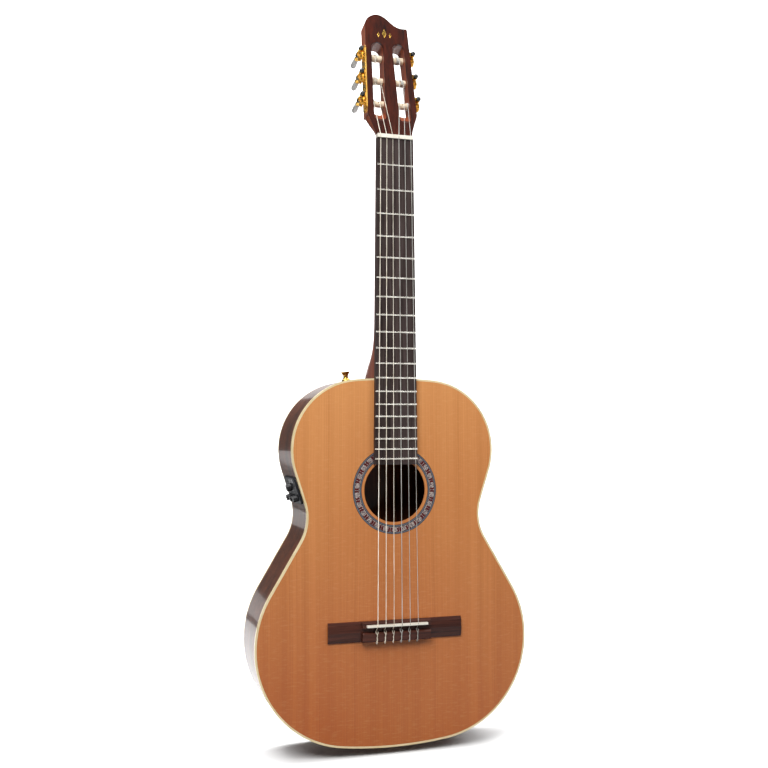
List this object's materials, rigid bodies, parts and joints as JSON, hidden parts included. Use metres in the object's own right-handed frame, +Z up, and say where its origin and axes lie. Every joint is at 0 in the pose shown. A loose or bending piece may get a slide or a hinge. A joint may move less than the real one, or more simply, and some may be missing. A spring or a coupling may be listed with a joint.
{
  "type": "classical guitar",
  "caption": "Classical acoustic-electric guitar with slotted head, geared tuning machines, tie bridge, inlaid rosette and a side-mounted preamp.",
  "frame": {"origin": "mouth of the end-pin jack, on the centre line of the tail of the body", "axes": "+Z up the neck to the head, the soundboard faces -Y, +X towards the treble side; the end-pin jack opens along -Z"},
  "size_m": [0.376, 0.1056, 1.0121],
  "materials": {
    "cedar": "satin lacquer",
    "rosewood": "gloss lacquer",
    "mahogany": "gloss lacquer",
    "spruce_brace": "raw",
    "cream_binding": "gloss",
    "ebonised_board": "oiled",
    "bridge_wood": "oiled",
    "bone": "polished",
    "nickel_silver": "polished",
    "rosette_inlay": "gloss lacquer",
    "gold_brass": "polished",
    "steel": "brushed",
    "pearl_button": "pearl",
    "black_plastic": "satin",
    "wound_string": "wound",
    "nylon_string": "clear",
    "display_window": "gloss",
    "circuit_board": "satin",
    "head_veneer": "gloss lacquer",
    "battery_case": "satin"
  },
  "bodies": {
    "guitar": {"back_braces": "spruce_brace", "back_plate": "rosewood", "bass_side": "rosewood", "bass_tuner_plate": "gold_brass", "battery": "battery_case", "body_bindings": "cream_binding", "bridge": "bridge_wood", "end_jack": "gold_brass", "fingerboard": "ebonised_board", "frets": "nickel_silver", "head_veneer": "head_veneer", "heel_cap": "rosewood", "kerfed_linings": "spruce_brace", "neck": "mahogany", "neck_block": "mahogany", "nut": "bone", "preamp_circuit_board": "circuit_board", "preamp_housing": "black_plastic", "preamp_panel": "black_plastic", "rosette": "rosette_inlay", "saddle": "bone", "saddle_pickup": "steel", "soundboard": "cedar", "soundboard_braces": "spruce_brace", "strap_button": "gold_brass", "string_1": "nylon_string", "string_2": "nylon_string", "string_3": "nylon_string", "string_4": "wound_string", "string_5": "wound_string", "string_6": "wound_string", "tail_block": "mahogany", "treble_side": "rosewood", "treble_tuner_plate": "gold_brass", "truss_rod": "steel", "tuner_display": "display_window", "tuner_screws": "gold_brass"},
    "worm_6": {"tuner_worm_6": "gold_brass", "tuner_button_6": "pearl_button"},
    "roller_6": {"tuner_roller_6": "bone"},
    "worm_5": {"tuner_worm_5": "gold_brass", "tuner_button_5": "pearl_button"},
    "roller_5": {"tuner_roller_5": "bone"},
    "worm_4": {"tuner_worm_4": "gold_brass", "tuner_button_4": "pearl_button"},
    "roller_4": {"tuner_roller_4": "bone"},
    "worm_1": {"tuner_worm_1": "gold_brass", "tuner_button_1": "pearl_button"},
    "roller_1": {"tuner_roller_1": "bone"},
    "worm_2": {"tuner_worm_2": "gold_brass", "tuner_button_2": "pearl_button"},
    "roller_2": {"tuner_roller_2": "bone"},
    "worm_3": {"tuner_worm_3": "gold_brass", "tuner_button_3": "pearl_button"},
    "roller_3": {"tuner_roller_3": "bone"},
    "volume_knob": {"volume_knob": "black_plastic"},
    "bass_knob": {"bass_knob": "black_plastic"},
    "middle_knob": {"middle_knob": "black_plastic"},
    "treble_knob": {"treble_knob": "black_plastic"},
    "tuner_key": {"tuner_key": "black_plastic"}
  },
  "joints": [
    {"name": "tuning_key_6_turn", "type": "hinge", "parent": "guitar", "child": "worm_6", "pos_m": [-0.04025, -0.02412, 0.88627], "axis": [0, -0.9763, 0.2164], "continuous": true},
    {"name": "roller_6_turn", "type": "hinge", "parent": "guitar", "child": "roller_6", "pos_m": [-0.04054, -0.02594, 0.87807], "axis": [-0.9994, 0.0074, 0.0335], "continuous": true},
    {"name": "tuning_key_5_turn", "type": "hinge", "parent": "guitar", "child": "worm_5", "pos_m": [-0.03903, -0.0164, 0.9211], "axis": [0, -0.9763, 0.2164], "continuous": true},
    {"name": "roller_5_turn", "type": "hinge", "parent": "guitar", "child": "roller_5", "pos_m": [-0.03932, -0.01821, 0.9129], "axis": [-0.9994, 0.0074, 0.0335], "continuous": true},
    {"name": "tuning_key_4_turn", "type": "hinge", "parent": "guitar", "child": "worm_4", "pos_m": [-0.03781, -0.00868, 0.95593], "axis": [0, -0.9763, 0.2164], "continuous": true},
    {"name": "roller_4_turn", "type": "hinge", "parent": "guitar", "child": "roller_4", "pos_m": [-0.03809, -0.01049, 0.94774], "axis": [-0.9994, 0.0074, 0.0335], "continuous": true},
    {"name": "tuning_key_1_turn", "type": "hinge", "parent": "guitar", "child": "worm_1", "pos_m": [0.04025, -0.02412, 0.88627], "axis": [0, -0.9763, 0.2164], "continuous": true},
    {"name": "roller_1_turn", "type": "hinge", "parent": "guitar", "child": "roller_1", "pos_m": [0.04054, -0.02594, 0.87807], "axis": [0.9994, 0.0074, 0.0335], "continuous": true},
    {"name": "tuning_key_2_turn", "type": "hinge", "parent": "guitar", "child": "worm_2", "pos_m": [0.03903, -0.0164, 0.9211], "axis": [0, -0.9763, 0.2164], "continuous": true},
    {"name": "roller_2_turn", "type": "hinge", "parent": "guitar", "child": "roller_2", "pos_m": [0.03932, -0.01821, 0.9129], "axis": [0.9994, 0.0074, 0.0335], "continuous": true},
    {"name": "tuning_key_3_turn", "type": "hinge", "parent": "guitar", "child": "worm_3", "pos_m": [0.03781, -0.00868, 0.95593], "axis": [0, -0.9763, 0.2164], "continuous": true},
    {"name": "roller_3_turn", "type": "hinge", "parent": "guitar", "child": "roller_3", "pos_m": [0.03809, -0.01049, 0.94774], "axis": [0.9994, 0.0074, 0.0335], "continuous": true},
    {"name": "volume_knob_turn", "type": "hinge", "parent": "guitar", "child": "volume_knob", "pos_m": [-0.13298, -0.0065, 0.35263], "axis": [-0.9515, 0, -0.3076], "range_deg": [-140, 140]},
    {"name": "bass_knob_turn", "type": "hinge", "parent": "guitar", "child": "bass_knob", "pos_m": [-0.12852, -0.0275, 0.33883], "axis": [-0.9515, 0, -0.3076], "range_deg": [-135, 135]},
    {"name": "middle_knob_turn", "type": "hinge", "parent": "guitar", "child": "middle_knob", "pos_m": [-0.12852, -0.0065, 0.33883], "axis": [-0.9515, 0, -0.3076], "range_deg": [-135, 135]},
    {"name": "treble_knob_turn", "type": "hinge", "parent": "guitar", "child": "treble_knob", "pos_m": [-0.12852, 0.0145, 0.33883], "axis": [-0.9515, 0, -0.3076], "range_deg": [-135, 135]},
    {"name": "tuner_key_press", "type": "slide", "parent": "guitar", "child": "tuner_key", "axis": [0.9515, 0, 0.3076], "range_m": [0, 0.0008], "stiffness_N_per_m": 500}
  ],
  "couplings": [
    {"joint": "roller_6_turn", "follows": "tuning_key_6_turn", "ratio": -0.071429},
    {"joint": "roller_5_turn", "follows": "tuning_key_5_turn", "ratio": -0.071429},
    {"joint": "roller_4_turn", "follows": "tuning_key_4_turn", "ratio": -0.071429},
    {"joint": "roller_1_turn", "follows": "tuning_key_1_turn", "ratio": -0.071429},
    {"joint": "roller_2_turn", "follows": "tuning_key_2_turn", "ratio": -0.071429},
    {"joint": "roller_3_turn", "follows": "tuning_key_3_turn", "ratio": -0.071429}
  ]
}
